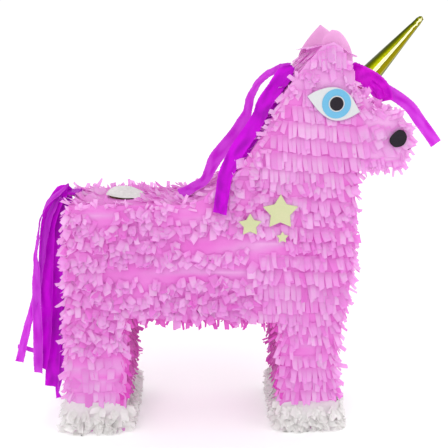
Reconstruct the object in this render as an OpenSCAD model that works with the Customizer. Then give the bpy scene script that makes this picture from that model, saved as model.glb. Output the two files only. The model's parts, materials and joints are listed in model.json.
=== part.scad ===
// Unicorn pinata: a flat cardboard shell of two silhouette panels joined by
// edge strips, covered in fringed tissue, with a foil horn, paper eyes,
// stars, a filling door in the back and crepe streamers for mane and tail.
// The head points along +X, +Z is up, and the unicorn's right side faces -Y.

/* [Shell] */
// Thickness of the body across the two side panels
shell_w = 112; // [90:1:140]
// Thickness of the corrugated cardboard
card = 3; // [2:0.5:4]
// Height of the level stretch of the back above the floor
back_z = 297; // [294:1:300]

/* [Filling door] */
// Distance of the filling door behind the middle of the object
door_back = 122; // [118:1:126]
// Radius of the round filling hole
fill_hole_r = 21.5; // [18:0.5:22]
// Radius of the paper seal over the filling door
seal_r = 25.5; // [25:0.5:27]

/* [Hanging] */
// Radius of each hanging hole
hang_hole_r = 3; // [2:0.5:4]
// Distance between the two hanging holes
hang_pitch = 16; // [14:1:20]

/* [Horn] */
// Length of the horn from its foot to its blunt tip
horn_length = 122; // [110:1:125]
// Radius of the horn's foot
horn_r = 15.4; // [11:0.2:16]
// Tilt of the horn forward from upright
horn_tilt = 41.5; // [38:0.5:44]

/* [Tissue] */
// Thickness of the smooth tissue glued to the card
tissue = 1.2; // [1:0.1:1.5]
// How far the fringe stands out from the smooth tissue
fringe = 4.3; // [3:0.1:5]
// Distance from one fringe row to the next
row_pitch = 19; // [17:1:22]

/* [Face and stars] */
// Thickness of each die-cut paper piece
paper = 0.7; // [0.5:0.1:0.7]
// Outer radius of the largest star
star_r = 22; // [18:1:24]

/* [Streamers] */
// Thickness of a crepe streamer with its crinkles
crepe = 1.2; // [1:0.1:1.5]
// Width of a crepe streamer
crepe_w = 18; // [14:1:19]

/* [Hidden] */
$fn = 96;

// Corners of the silhouette, as [x, z], in runs that meet at shared corners.
RUMP = [[-200, 0], [-193, 180], [-188, 285], [-184, back_z]];
BACK = [[-184, back_z], [-40, back_z]];
NAPE = [[-40, back_z], [-18, 307], [0, 320], [17, 338], [31, 358], [45, 379], [59, 403],
    [71, 430], [83, 446]];
CROWN = [[83, 446], [94, 460], [112, 480], [124, 484], [133, 478], [140, 459]];
FOREHEAD = [[140, 459], [145, 443], [160, 424], [177, 411], [195, 405], [206, 401]];
MUZZLE = [[206, 401], [214, 391], [217, 369], [213, 353], [206, 345]];
JAW = [[206, 345], [178, 342], [163, 344], [156, 336]];
CHEST = [[156, 336], [155, 315], [156, 285], [158, 248], [157, 216], [152, 183],
    [147, 150], [142, 117], [142, 60], [146, 0]];
FRONT_SOLE = [[146, 0], [74, 0]];
FRONT_INNER = [[74, 0], [68, 138], [65, 152]];
BELLY = [[65, 152], [-118, 156]];
REAR_INNER = [[-118, 156], [-121, 140], [-128, 0]];
REAR_SOLE = [[-128, 0], [-200, 0]];
RUNS = [RUMP, BACK, NAPE, CROWN, FOREHEAD, MUZZLE, JAW, CHEST, FRONT_SOLE, FRONT_INNER,
    BELLY, REAR_INNER, REAR_SOLE];

function join_runs(runs) = [for (run = runs) for (i = [0 : len(run) - 2]) run[i]];
OUTLINE = join_runs(RUNS);

// The unit normal of the edge from a to b, on its left.
function left_of(a, b) = let (d = b - a) [-d[1], d[0]] / norm(d);
// Where a corner moves when both of its edges move sideways by t.
function mitre(a, b, c, t) =
    let (n = left_of(a, b), m = left_of(b, c)) b + (n + m) * t / (1 + n * m);
function around(points, i) = points[(i + len(points)) % len(points)];
function grown(points, t) = [for (i = [0 : len(points) - 1])
    mitre(around(points, i - 1), points[i], around(points, i + 1), t)];
// First corner of each run in the outline.
function start_of(k) = k == 0 ? 0 : start_of(k - 1) + len(RUNS[k - 1]) - 1;
function part_of(points, k) = [for (i = [start_of(k) : start_of(k) + len(RUNS[k]) - 1])
    around(points, i)];
function backwards(points) = [for (i = [len(points) - 1 : -1 : 0]) points[i]];

half_w = shell_w / 2;
skin_y = half_w + tissue;
fringe_y = skin_y + fringe;
door_x = -door_back;
fold_x = door_x + seal_r - 3;
seal_z = back_z + 0.4;
horn_foot = [159, 425];

// A flat shape drawn in X and Z, filling y from y0 to y0 + t.
module upright(y0, t) {
    translate([0, y0 + t, 0]) rotate([90, 0, 0]) linear_extrude(t) children();
}

// The same shape on the right side, from depth a outward by t, or on the left.
module on_side(side, a, t) {
    upright(side > 0 ? -a - t : a, t) children();
}

module profile(t = 0) { polygon(grown(OUTLINE, t)); }

// A strip along run k of the outline, between two distances out from the card.
module along(k, inner, outer) {
    polygon(concat(part_of(grown(OUTLINE, outer), k),
        backwards(part_of(grown(OUTLINE, inner), k))));
}

module card_strip(k) {
    color("burlywood") upright(-half_w + card, shell_w - 2 * card) along(k, -card, 0);
}

module side_panel(side) {
    color("burlywood") on_side(side, half_w - card, card) profile();
}

module right_side_panel() { side_panel(1); }
module left_side_panel() { side_panel(-1); }
module rump_strip() { card_strip(0); }

module back_strip() {
    difference() {
        card_strip(1);
        translate([door_x, 0, back_z - card - 1]) cylinder(h = card + 2, r = fill_hole_r);
        hang_holes();
    }
}

module nape_strip() { card_strip(2); }
module crown_strip() { card_strip(3); }
module forehead_strip() { card_strip(4); }
module muzzle_strip() { card_strip(5); }
module jaw_strip() { card_strip(6); }
module chest_strip() { card_strip(7); }
module front_sole() { card_strip(8); }
module front_leg_inner_strip() { card_strip(9); }
module belly_strip() { card_strip(10); }
module rear_leg_inner_strip() { card_strip(11); }
module rear_sole() { card_strip(12); }

// Hanging
hang_x = -76;
plate_l = 44;
plate_w = 50;

module hang_holes() {
    for (s = [-1, 1])
        translate([hang_x + s * hang_pitch / 2, 0, back_z - 2 * card - 1])
            cylinder(h = 2 * card + 2, r = hang_hole_r);
}

module hanger_plate() {
    color("tan") difference() {
        translate([hang_x - plate_l / 2, -plate_w / 2, back_z - 2 * card])
            cube([plate_l, plate_w, card]);
        hang_holes();
    }
}

// Filling door
module fill_door() {
    color("burlywood") translate([door_x, 0, back_z - card])
        cylinder(h = card + 0.4, r = fill_hole_r - 0.8);
}

module seal_disc() {
    translate([door_x, 0, seal_z]) cylinder(h = paper, r = seal_r);
}

module beyond_fold(gap) {
    translate([fold_x + gap, -seal_r, seal_z - 1]) cube([seal_r, 2 * seal_r, 3]);
}

module seal_label() {
    color("white") difference() { seal_disc(); beyond_fold(0); }
}

module seal_glued_edge() {
    color("white") intersection() { seal_disc(); beyond_fold(0.4); }
}

// Horn
foil = 1.2;
core_tip_r = 2.6;
foot_sink = 8;

module on_horn_foot() {
    translate([horn_foot[0], 0, horn_foot[1]]) rotate([0, horn_tilt, 0]) children();
}

// The horn's foot is cut to the slope of the forehead.
module cut_by_forehead() {
    difference() {
        on_horn_foot() children();
        upright(-half_w, shell_w) profile();
    }
}

module horn_core() {
    color("tan") cut_by_forehead() rotate_extrude() polygon([
        [horn_r - 2.8, -foot_sink], [horn_r - foil, -foot_sink], [core_tip_r, horn_length - 8],
        [0, horn_length - 8], [0, horn_length - 10], [core_tip_r - 1.2, horn_length - 10]
    ]);
}

module horn_foil() {
    color("gold") cut_by_forehead() rotate_extrude() polygon([
        [horn_r - foil, -foot_sink], [horn_r, -foot_sink], [3.6, horn_length - 2],
        [2, horn_length], [0, horn_length], [0, horn_length - 8], [core_tip_r, horn_length - 8]
    ]);
}

// Ears
RIGHT_EAR = [[112, 476], [114, 490], [123, 499], [131, 497], [139, 489], [146, 477],
    [149, 464], [148, 455], [136, 452], [120, 462]];
LEFT_EAR = [[96, 460], [99, 474], [105, 485], [114, 497], [125, 509], [137, 500],
    [146, 488], [149, 472], [148, 455], [116, 460]];

ear_y = 45;

module ear(points, y0) {
    color("plum") upright(y0, card) difference() {
        polygon(points);
        profile(0);
    }
}

module right_ear() { ear(RIGHT_EAR, -ear_y - card); }
module left_ear() { ear(LEFT_EAR, ear_y); }

// Eyes
eye_at = [128.5, 417];
iris_r = 16.6;
ring_r = 9.1;
pupil_r = 7.8;
EYE = [[95, 425.5], [103, 430.5], [113, 434], [122, 435.5], [131, 434.5], [140, 430],
    [147, 422.5], [152, 414], [156, 408], [147, 402.5], [138, 399], [129, 398],
    [120, 400.5], [111, 406.5], [103, 415]];

module at_eye() { translate(eye_at) children(); }
module eye_white(side) { color("white") on_side(side, fringe_y, paper) polygon(EYE); }

module iris(side) {
    color("skyblue") on_side(side, fringe_y + paper, paper) at_eye() circle(iris_r);
}

module iris_rim(side) {
    color("white") on_side(side, fringe_y + 2 * paper, paper) at_eye() circle(ring_r);
}

module pupil(side) {
    color("black") on_side(side, fringe_y + 3 * paper, paper) at_eye() circle(pupil_r);
}

module right_eye_white() { eye_white(1); }
module left_eye_white() { eye_white(-1); }
module right_iris() { iris(1); }
module left_iris() { iris(-1); }
module right_iris_rim() { iris_rim(1); }
module left_iris_rim() { iris_rim(-1); }
module right_pupil() { pupil(1); }
module left_pupil() { pupil(-1); }

// Nostrils
NOSTRIL = [[192, 376], [196, 382.5], [202, 387], [208, 386], [212, 380], [211, 373],
    [207, 368.5], [200, 367], [194.5, 370]];

module nostril(side) { color("black") on_side(side, fringe_y, paper) polygon(NOSTRIL); }
module right_nostril() { nostril(1); }
module left_nostril() { nostril(-1); }

// Stars, each as [x, z, share of the largest radius]
STARS = [[67, 290, 1], [31, 274.5, 0.65], [70, 259, 0.34]];
inner_share = 0.55;

module star_shape(r) {
    polygon([for (i = [0 : 9])
        let (a = 90 + i * 36, q = i % 2 == 0 ? r : r * inner_share) [q * cos(a), q * sin(a)]]);
}

module stars(side) {
    color("palegoldenrod") on_side(side, fringe_y, paper)
        for (s = STARS) translate([s[0], s[1]]) star_shape(star_r * s[2]);
}

module right_stars() { stars(1); }
module left_stars() { stars(-1); }

// Tissue and fringe
hoof_top = 38;
clear_under = 2;
// How far the white tufts stand out from the card
tuft = 8.6;

module above(z) { translate([-300, z]) square([600, 600]); }
module band(z0, z1) { translate([-300, z0]) square([600, z1 - z0]); }

module smooth_tissue(side) {
    color("orchid") on_side(side, half_w, tissue) intersection() {
        profile();
        above(hoof_top);
    }
}

module right_smooth_tissue() { smooth_tissue(1); }
module left_smooth_tissue() { smooth_tissue(-1); }

module side_fringe(side) {
    color("violet") on_side(side, skin_y, fringe) intersection() {
        profile();
        for (z = [hoof_top + 2 : row_pitch : 490]) band(z, z + row_pitch - 3);
    }
}

module right_fringe() { side_fringe(1); }
module left_fringe() { side_fringe(-1); }

nape_thick = tissue + 2;

// Fringe over the edge strips, as wide as the shell.
module edge_fringe(k, thick = tissue + fringe) {
    upright(-half_w, shell_w) along(k, 0, thick);
}

module back_fringe() {
    color("violet") difference() {
        edge_fringe(1);
        translate([door_x, 0, back_z - 1]) cylinder(h = 12, r = seal_r + 6);
        translate([hang_x, 0, back_z - 1]) cylinder(h = 12, r = hang_pitch / 2 + 7);
    }
}

module rump_fringe() {
    color("violet") intersection() {
        edge_fringe(0);
        upright(-half_w, shell_w) above(hoof_top);
    }
}

module nape_fringe() {
    color("violet") edge_fringe(2, nape_thick);
}

module crown_fringe() {
    color("violet") difference() {
        edge_fringe(3);
        for (y0 = [-ear_y - card - 1, ear_y - 1]) upright(y0, card + 2) above(400);
    }
}

module front_fringe() {
    color("violet") difference() {
        union() {
            edge_fringe(4);
            edge_fringe(5);
            edge_fringe(6);
            upright(-half_w, shell_w) intersection() {
                along(7, 0, tissue + fringe);
                above(hoof_top);
            }
        }
        on_horn_foot() cylinder(h = 40, r = horn_r + 1.5, center = true);
        upright(-lock_w / 2 - 2, lock_w + 4) above(lock_foot);
        for (y0 = [-ear_y - card - 1, ear_y - 1]) upright(y0, card + 2) above(lock_foot);
    }
}

module leg_and_belly_tissue() {
    color("mediumvioletred") upright(-half_w, shell_w) intersection() {
        union() for (k = [9 : 11]) along(k, 0, tissue);
        above(hoof_top);
    }
}

// White ragged tissue round the bottom of a leg, from x0 to x1 at the floor.
module hoof_tissue(x0, x1) {
    color("white") difference() {
        translate([x0 - tuft, -half_w - tuft, clear_under])
            cube([x1 - x0 + 2 * tuft, shell_w + 2 * tuft, hoof_top - clear_under]);
        upright(-half_w, shell_w) profile();
    }
}

module front_hoof_tissue() { hoof_tissue(73, 147); }
module rear_hoof_tissue() { hoof_tissue(-201, -127); }

// Crepe streamers, each cut flat along a path of [x, z] points.
function along_path(path, i) = let (
    a = path[max(i - 1, 0)], b = path[min(i + 1, len(path) - 1)]) left_of(a, b);
module streamer(path, y0, width = crepe_w, shade = "magenta") {
    left = [for (i = [0 : len(path) - 1]) path[i] + along_path(path, i) * width / 2];
    right = [for (i = [0 : len(path) - 1]) path[i] - along_path(path, i) * width / 2];
    color(shade) upright(y0, crepe) polygon(concat(left, backwards(right)));
}

// Mane
MANE_LIGHT = [[68, 456], [58, 452], [47, 442], [37, 428], [30, 410], [24, 393], [12, 376],
    [-3, 358], [-15, 341], [-23, 328], [-36, 319], [-53, 313]];
MANE_DARK = [[70, 450], [60, 437], [48, 420], [40, 405], [31, 388], [20, 373], [11, 358],
    [4, 340], [0, 322], [-3, 304], [-5, 284]];
MANE_FOLD = [[60, 440], [50, 424], [42, 406], [34, 388], [26, 370], [18, 350], [12, 334]];

module mane_root() {
    color("darkmagenta") upright(-54, 72) intersection() {
        along(2, nape_thick, nape_thick + 4);
        above(436);
    }
}

module mane_light() { streamer(MANE_LIGHT, -6, 15, "violet"); }
module mane_dark() { streamer(MANE_DARK, -half_w - tuft); }
module mane_fold() { streamer(MANE_FOLD, -half_w - tuft + 1.4, 16, "darkmagenta"); }

// Forelock
lock_w = 40;
lock_foot = 442;
FORELOCK_DARK = [[158, 455], [171, 450], [183, 443], [192, 434], [197, 418]];
FORELOCK_LIGHT = [[196, 431], [216, 421], [229, 411], [238, 400], [252, 382], [268, 362]];

module forelock_root() {
    color("darkmagenta") upright(-lock_w / 2, lock_w) intersection() {
        along(4, 0, 7);
        band(lock_foot, 456);
    }
}

module forelock_dark() { streamer(FORELOCK_DARK, -20, 22, "darkmagenta"); }
module forelock_light() { streamer(FORELOCK_LIGHT, -17, crepe_w, "violet"); }

// Tail
TAIL_OUTER = [[-204, 306], [-214, 294], [-226, 277], [-236, 256], [-239, 230], [-241, 205],
    [-243, 180], [-245, 155], [-247, 128], [-249, 100], [-250, 60]];
TAIL_CURL = [[-232, 262], [-236, 230], [-240, 200], [-244, 170], [-253, 142], [-261, 112],
    [-271, 78]];
TAIL_MIDDLE = [[-208, 303], [-218, 284], [-226, 258], [-231, 226], [-235, 180], [-238, 137],
    [-242, 95], [-245, 58]];
TAIL_DARK = [[-208, 300], [-215, 280], [-221, 245], [-225, 190], [-229, 127], [-231, 85],
    [-232, 38]];
TAIL_INNER = [[-207, 298], [-210, 273], [-214, 226], [-218, 167], [-221, 106], [-222, 47],
    [-222, 16]];

module tail_root() {
    color("darkmagenta") translate([-194, -12, back_z + tissue + fringe]) cube([14, 26, 3]);
}

module tail_outer() { streamer(TAIL_OUTER, -10, 9, "violet"); }
module tail_curl() { streamer(TAIL_CURL, -6, 10, "violet"); }
module tail_middle() { streamer(TAIL_MIDDLE, -2, crepe_w, "magenta"); }
module tail_dark() { streamer(TAIL_DARK, 4, crepe_w, "darkmagenta"); }
module tail_inner() { streamer(TAIL_INNER, 10, 16, "darkmagenta"); }

right_side_panel();
left_side_panel();
rump_strip();
back_strip();
nape_strip();
crown_strip();
forehead_strip();
muzzle_strip();
jaw_strip();
chest_strip();
front_sole();
front_leg_inner_strip();
belly_strip();
rear_leg_inner_strip();
rear_sole();
hanger_plate();
fill_door();
seal_label();
seal_glued_edge();
horn_core();
horn_foil();
right_ear();
left_ear();
right_eye_white();
right_iris();
right_iris_rim();
right_pupil();
left_eye_white();
left_iris();
left_iris_rim();
left_pupil();
right_nostril();
left_nostril();
right_stars();
left_stars();
front_hoof_tissue();
rear_hoof_tissue();
right_smooth_tissue();
left_smooth_tissue();
right_fringe();
left_fringe();
back_fringe();
rump_fringe();
nape_fringe();
crown_fringe();
front_fringe();
leg_and_belly_tissue();
mane_root();
mane_light();
mane_dark();
mane_fold();
forelock_root();
forelock_dark();
forelock_light();
tail_root();
tail_outer();
tail_curl();
tail_middle();
tail_dark();
tail_inner();
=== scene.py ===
import json
import math
import random

import bpy
from mathutils import Matrix, Vector, noise
from mathutils.geometry import delaunay_2d_cdt


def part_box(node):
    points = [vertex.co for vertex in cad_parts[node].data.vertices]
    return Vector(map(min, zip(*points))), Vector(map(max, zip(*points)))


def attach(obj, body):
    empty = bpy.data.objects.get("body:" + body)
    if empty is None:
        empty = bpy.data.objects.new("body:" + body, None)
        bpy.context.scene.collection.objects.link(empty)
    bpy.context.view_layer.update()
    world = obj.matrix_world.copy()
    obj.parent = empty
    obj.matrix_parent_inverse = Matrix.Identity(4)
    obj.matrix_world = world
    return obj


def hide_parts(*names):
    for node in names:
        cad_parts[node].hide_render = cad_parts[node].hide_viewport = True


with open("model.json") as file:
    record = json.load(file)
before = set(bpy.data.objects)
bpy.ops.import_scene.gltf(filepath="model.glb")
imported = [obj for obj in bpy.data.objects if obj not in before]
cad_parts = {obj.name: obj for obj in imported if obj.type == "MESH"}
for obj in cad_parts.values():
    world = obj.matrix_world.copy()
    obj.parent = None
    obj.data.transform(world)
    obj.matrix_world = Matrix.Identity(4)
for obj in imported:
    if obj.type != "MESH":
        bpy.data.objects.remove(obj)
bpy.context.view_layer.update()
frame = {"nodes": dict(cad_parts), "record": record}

RECORD = frame["record"]
SHELL = "shell"
DEG = math.pi / 180


# ---------------------------------------------------------------- materials

class Value:
    """A node's number output that Python's operators extend with Math nodes."""

    def __init__(self, recipe, socket):
        self.recipe = recipe
        self.socket = socket

    def math(self, operation, first, second):
        return self.recipe.add("ShaderNodeMath", {"operation": operation}, {0: first, 1: second})

    def size(self):
        return self.math("ABSOLUTE", self, 0.0)

    def __add__(self, other):
        return self.math("ADD", self, other)

    def __radd__(self, other):
        return self.math("ADD", other, self)

    def __sub__(self, other):
        return self.math("SUBTRACT", self, other)

    def __rsub__(self, other):
        return self.math("SUBTRACT", other, self)

    def __mul__(self, other):
        return self.math("MULTIPLY", self, other)

    def __rmul__(self, other):
        return self.math("MULTIPLY", other, self)


class Recipe:
    """One material, built from nodes that end in a Principled shader."""

    def __init__(self, name):
        self.material = bpy.data.materials.new(name)
        self.material.use_nodes = True
        self.tree = self.material.node_tree
        self.tree.nodes.clear()
        self.end = self.tree.nodes.new("ShaderNodeOutputMaterial")

    def add(self, kind, settings=None, sockets=None, output=0):
        """A node of that kind, its settings made first, then its sockets filled or linked."""
        node = self.tree.nodes.new(kind)
        for key, value in (settings or {}).items():
            if key == "stops":
                for _ in range(len(value) - 2):
                    node.color_ramp.elements.new(0.5)
                for element, (place, colour) in zip(node.color_ramp.elements, value):
                    element.position = place
                    element.color = (*colour, 1)
            else:
                setattr(node, key, value)
        for key, value in (sockets or {}).items():
            self.fill(node.inputs[key], value)
        return Value(self, node.outputs[output])

    def fill(self, socket, value):
        """Links a Value to the socket, or sets the socket to a number, colour or vector."""
        if isinstance(value, Value):
            self.tree.links.new(value.socket, socket)
        elif isinstance(value, tuple) and len(value) == 3 and socket.type == "RGBA":
            socket.default_value = (*value, 1)
        else:
            socket.default_value = value

    def place(self):
        """The point on the piece, in the piece's own frame."""
        return self.add("ShaderNodeTexCoord", output="Object")

    def stretched(self, scale):
        return self.add("ShaderNodeMapping", sockets={"Vector": self.place(), "Scale": scale})

    def noise(self, scale, detail=3.0, vector=None):
        return self.add("ShaderNodeTexNoise", sockets={
            "Vector": vector or self.place(), "Scale": scale, "Detail": detail})

    def tint(self):
        """The numbers that each strip carries: its shade, the way along it and across it."""
        colour = self.add("ShaderNodeAttribute", {"attribute_name": "tint"}, output="Color")
        split = self.add("ShaderNodeSeparateColor", sockets={"Color": colour})
        outputs = split.socket.node.outputs
        return [Value(self, outputs[k]) for k in range(3)]

    def mixed(self, share, first, second):
        return self.add("ShaderNodeMix", {"data_type": "RGBA"},
                        {0: share, 6: first, 7: second}, output=2)

    def within(self, value, low, high, to_low=0.0, to_high=1.0):
        return self.add("ShaderNodeMapRange", {"clamp": True}, {
            "Value": value, "From Min": low, "From Max": high,
            "To Min": to_low, "To Max": to_high})

    def bump(self, height, strength, distance):
        return self.add("ShaderNodeBump", sockets={
            "Height": height, "Strength": strength, "Distance": distance})

    def finish(self, sockets, glow=0.0, glow_colour=None):
        """Ends the recipe. glow is the share of light that comes through the paper from behind."""
        surface = self.add("ShaderNodeBsdfPrincipled", sockets=sockets)
        if glow:
            through = self.add("ShaderNodeBsdfTranslucent", sockets={"Color": glow_colour})
            surface = self.add("ShaderNodeMixShader", sockets={0: glow, 1: surface, 2: through})
        self.tree.links.new(surface.socket, self.end.inputs["Surface"])
        return self.material


def linear(red, green, blue):
    """A paint-chart colour, 0 to 255, as amounts of light."""
    def one(level):
        level = level / 255
        return level / 12.92 if level <= 0.04045 else ((level + 0.055) / 1.055) ** 2.4
    return (one(red), one(green), one(blue))


def tissue_paper(name, shades, root, glow=0.35, lit=None):
    """Thin dyed tissue. shades run from a strip's deepest tint to its palest. root is the deeper
    colour towards each tab's root and along its edges, partly the tint of stacked layers and
    partly painted shade; lit is the colour of light through it."""
    r = Recipe(name)
    shade, along, across = r.tint()
    cloud = r.noise(16.0, 2.0)
    depth = r.within(shade * 0.8 + cloud * 0.5 - 0.15, 0.0, 1.0)
    colour = r.add("ShaderNodeValToRGB", {"stops": [
        (0.0, shades[0]), (0.35, shades[1]), (0.7, shades[2]), (1.0, shades[3])]}, {"Fac": depth})
    # Towards its root each tab takes on the root colour: painted shade under the row above, partly
    # the deeper tint of stacked layers.
    colour = r.mixed(r.within(along, 0.0, 0.5, 0.6, 0.0), colour, root)
    # Along each tab's edges the colour deepens too: painted shade between neighbouring tabs,
    # partly their overlap.
    rim = (across - 0.5).size()
    colour = r.mixed(r.within(rim, 0.3, 0.5, 0.0, 0.45), colour, root)
    crinkle = r.noise(700.0, 3.0)
    fold = r.noise(150.0, 2.0)
    return r.finish({
        "Base Color": colour,
        "Roughness": r.within(crinkle, 0.3, 0.7, 0.6, 0.85),
        "Sheen Weight": 0.1,
        "Specular IOR Level": 0.25,
        "Normal": r.bump(crinkle * 0.4 + fold, 0.4, 0.0008),
    }, glow, lit or colour)


def crepe_paper(name, full, fold_shade, pale, glow=0.4):
    """Dyed crepe streamer: painted shade of its folds as a deeper colour mottled by noise, paler
    on its cut edges, finely rippled.
    """
    r = Recipe(name)
    shade, _, across = r.tint()
    cloud = r.noise(26.0, 3.0)
    # Painted fold shade: the deeper colour is laid in a noise mottle, not at the strip's real
    # buckles.
    colour = r.mixed(r.within(cloud * 0.5 + shade * 0.8, 0.35, 0.85), fold_shade, full)
    rim = (across - 0.5).size()
    colour = r.mixed(r.within(rim, 0.38, 0.5, 0.0, 0.55), colour, pale)
    grain = r.noise(900.0, 2.0)
    crease = r.noise(120.0, 3.0, r.stretched((1.0, 1.0, 0.35)))
    return r.finish({
        "Base Color": colour,
        "Roughness": r.within(grain, 0.3, 0.7, 0.45, 0.65),
        "Specular IOR Level": 0.15,
        "Normal": r.bump(grain * 0.3 + crease, 0.3, 0.0012),
    }, glow, colour)


def printed_card(name, full, edge, fibre=700.0):
    """Stiff coloured paper with faint fibres."""
    r = Recipe(name)
    grain = r.noise(fibre, 4.0)
    blotch = r.noise(40.0, 2.0)
    return r.finish({
        "Base Color": r.mixed(r.within(grain * 0.5 + blotch * 0.5, 0.35, 0.65), full, edge),
        "Roughness": r.within(grain, 0.3, 0.7, 0.55, 0.72),
        "Specular IOR Level": 0.2,
        "Normal": r.bump(grain, 0.12, 0.0003),
    })


def brown_board():
    """Corrugated board: brown liner with fibres and the faint ribs of its fluting."""
    r = Recipe("brown_board")
    ribs = r.add("ShaderNodeTexWave", {"bands_direction": "X"}, {
        "Vector": r.place(), "Scale": 55.0, "Distortion": 0.6}, output="Fac")
    fibre = r.noise(260.0, 5.0, r.stretched((1.0, 1.0, 6.0)))
    colour = r.add("ShaderNodeValToRGB", {"stops": [
        (0.3, linear(150, 112, 74)), (0.7, linear(196, 156, 110))]}, {"Fac": fibre})
    return r.finish({
        "Base Color": colour,
        "Roughness": r.within(fibre, 0.3, 0.7, 0.8, 0.95),
        "Normal": r.bump(ribs * 0.6 + fibre * 0.4, 0.3, 0.0006),
    })


# The foil's colours for its painted reflections: dark olive for painted dark ones, cream, amber
# and gold for painted bright ones.
DARK_OLIVE = linear(60, 66, 4)
DEEP_OLIVE = linear(72, 80, 2)
OLIVE = linear(110, 116, 4)
GOLD = linear(176, 164, 42)
CREAM = linear(255, 252, 196)
AMBER = linear(138, 128, 10)
# Painted reflections in the foil's colour round the cone, from its upper edge towards the near
# side and on round.
FOIL_PAINTED_REFLECTIONS = [
    (0.0, DARK_OLIVE), (0.08, DEEP_OLIVE), (0.13, OLIVE), (0.195, linear(136, 138, 8)),
    (0.205, CREAM), (0.255, CREAM), (0.262, linear(96, 92, 4)), (0.28, AMBER), (0.34, AMBER),
    (0.36, linear(186, 172, 44)), (0.375, OLIVE), (0.45, DEEP_OLIVE), (0.56, OLIVE),
    (0.62, GOLD), (0.66, CREAM), (0.70, AMBER), (0.80, OLIVE), (0.86, GOLD), (0.93, OLIVE),
    (1.0, DARK_OLIVE)]


def gold_foil():
    """Metallised film with painted reflections: bright bands along the cone between dark olive
    ones, painted into its colour.
    """
    r = Recipe("gold_foil")
    turn, along, _ = r.tint()
    crinkle = r.noise(220.0, 5.0)
    fine = r.noise(900.0, 3.0)
    bend = along * 0.03 + (r.noise(35.0, 1.0) - 0.5) * 0.03
    crumple = (crinkle - 0.5) * r.within(along, 0.8, 0.95, 0.02, 0.35)
    painted_reflections = {"Fac": turn - bend + crumple}
    return r.finish({
        "Base Color": r.add("ShaderNodeValToRGB", {"stops": FOIL_PAINTED_REFLECTIONS}, painted_reflections),
        "Metallic": 1.0,
        "Roughness": r.within(fine, 0.3, 0.7, 0.2, 0.34),
        "Normal": r.bump(crinkle * 0.6 + fine * 0.2, 0.3, 0.0008),
    })


def studio_floor():
    """Matt white floor that stays white under the shadows' edges."""
    r = Recipe("studio_floor")
    grain = r.noise(30.0, 2.0)
    return r.finish({
        "Base Color": r.mixed(grain, (0.94, 0.94, 0.94), (0.97, 0.97, 0.97)),
        "Roughness": 0.8,
        "Emission Color": (1.0, 1.0, 1.0),
        "Emission Strength": 0.15,
    })


# In each tissue the colour after the four shades is its root colour, which is partly painted
# shade.
MATERIALS = {
    "fringe": tissue_paper("pink_fringe", [
        linear(231, 122, 213), linear(236, 169, 231), linear(240, 193, 238),
        linear(244, 213, 245)], linear(233, 130, 217), 0.42, linear(243, 144, 235)),
    "pale_fringe": tissue_paper("pale_pink_fringe", [
        linear(233, 138, 217), linear(238, 177, 232), linear(242, 197, 238),
        linear(246, 215, 245)], linear(235, 150, 221), 0.42, linear(244, 156, 236)),
    "skin": tissue_paper("smooth_pink_tissue", [
        linear(228, 106, 208), linear(229, 130, 214), linear(226, 150, 217),
        linear(237, 178, 230)], linear(229, 136, 215), 0.15),
    # Painted shade: a deeper copy of the pink tissue for the legs' inner faces and the belly,
    # which face away from the light.
    "inner": tissue_paper("shaded_inner_leg_tissue", [
        linear(212, 66, 186), linear(220, 88, 196), linear(228, 116, 206), linear(234, 140, 216)],
        linear(218, 74, 188), 0.3),
    "ear": tissue_paper("ear_tissue", [
        linear(228, 162, 215), linear(231, 170, 219), linear(234, 178, 223),
        linear(238, 186, 227)], linear(231, 170, 219), 0.25),
    "tuft": tissue_paper("white_tissue", [
        linear(232, 230, 228), linear(238, 236, 235), linear(244, 243, 242),
        linear(249, 248, 247)], linear(236, 233, 232), 0.4),
    # Each crepe's second colour is its painted fold shade, and the third its paler cut edge.
    "light_crepe": crepe_paper("light_purple_crepe", linear(212, 72, 224), linear(198, 34, 210),
                               linear(224, 104, 230), 0.4),
    "bright_crepe": crepe_paper("bright_purple_crepe", linear(230, 26, 232),
                                linear(200, 0, 208), linear(234, 70, 236), 0.35),
    "crepe": crepe_paper("purple_crepe", linear(208, 0, 220), linear(180, 0, 194),
                         linear(214, 30, 222), 0.3),
    "dark_crepe": crepe_paper("dark_purple_crepe", linear(200, 0, 214), linear(164, 0, 180),
                              linear(204, 16, 216), 0.25),
    "white_card": printed_card("white_card", linear(202, 204, 206), linear(197, 199, 202)),
    "seal_card": printed_card("seal_paper", linear(220, 217, 216), linear(196, 193, 192), 300.0),
    "blue_card": printed_card("blue_card", linear(106, 173, 207), linear(100, 167, 203)),
    "black_card": printed_card("black_card", linear(34, 27, 37), linear(26, 20, 30)),
    "star_card": printed_card("star_card", linear(196, 197, 156), linear(188, 194, 148)),
    "board": brown_board(),
    "foil": gold_foil(),
    "floor": studio_floor(),
}


def new_piece(name, points, faces, material):
    """A mesh of one material, in the scene."""
    mesh = bpy.data.meshes.new(name)
    mesh.from_pydata([tuple(p) for p in points], [], faces)
    mesh.materials.append(MATERIALS[material])
    mesh.update()
    piece = bpy.data.objects.new(name, mesh)
    bpy.context.scene.collection.objects.link(piece)
    return piece


# ------------------------------------------------------- shapes from the frame

def face_loop(node, y):
    """The outline, as (x, z) points going clockwise, of a CAD node's flat face at that depth."""
    mesh = frame["nodes"][node].data

    def key(index):
        point = mesh.vertices[index].co
        return (round(point.x, 5), round(point.z, 5))

    edges = []
    for face in mesh.polygons:
        if all(abs(mesh.vertices[i].co.y - y) < 1e-5 for i in face.vertices):
            corners = [key(i) for i in face.vertices]
            edges += zip(corners, corners[1:] + corners[:1])
    known = set(edges)
    steps = {a: b for a, b in edges if (b, a) not in known}
    start = min(steps)
    loop = [start]
    while steps[loop[-1]] != start:
        loop.append(steps[loop[-1]])
    area = sum(a[0] * b[1] - b[0] * a[1] for a, b in zip(loop, loop[1:] + loop[:1]))
    return loop if area < 0 else loop[::-1]


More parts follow.
